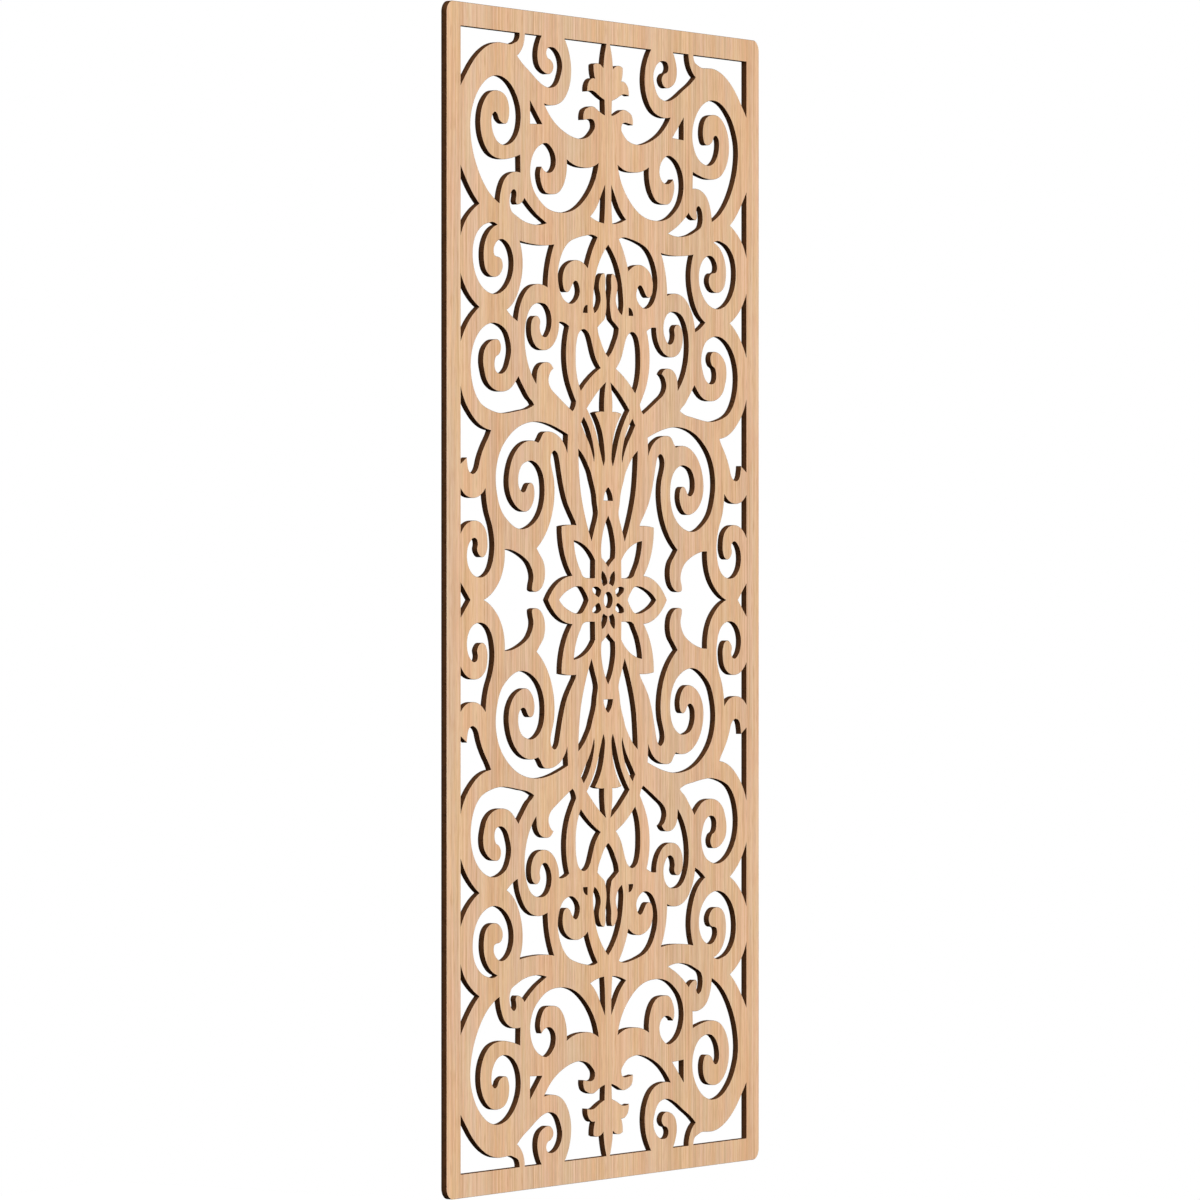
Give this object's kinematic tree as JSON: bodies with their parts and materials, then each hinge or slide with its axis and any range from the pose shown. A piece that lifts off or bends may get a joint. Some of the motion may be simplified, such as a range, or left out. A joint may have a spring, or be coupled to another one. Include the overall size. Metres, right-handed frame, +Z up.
{
  "type": "fretwork wall panel",
  "caption": "Upright flat wall panel of veneered board, sawn through with symmetrical scrollwork inside a plain rectangular border with rounded corners.",
  "frame": {"origin": "middle of the panel in width, height and thickness", "axes": "+X along the width, +Z up, front face towards -Y, back face towards +Y"},
  "size_m": [0.5936, 0.0064, 1.1874],
  "materials": {
    "veneer": "unfinished sanded straight-grained veneer",
    "core": "dark heat-browned cut edge of fibre core"
  },
  "bodies": {
    "root": {"front_veneer": "veneer", "core": "core", "back_veneer": "veneer"}
  },
  "joints": []
}
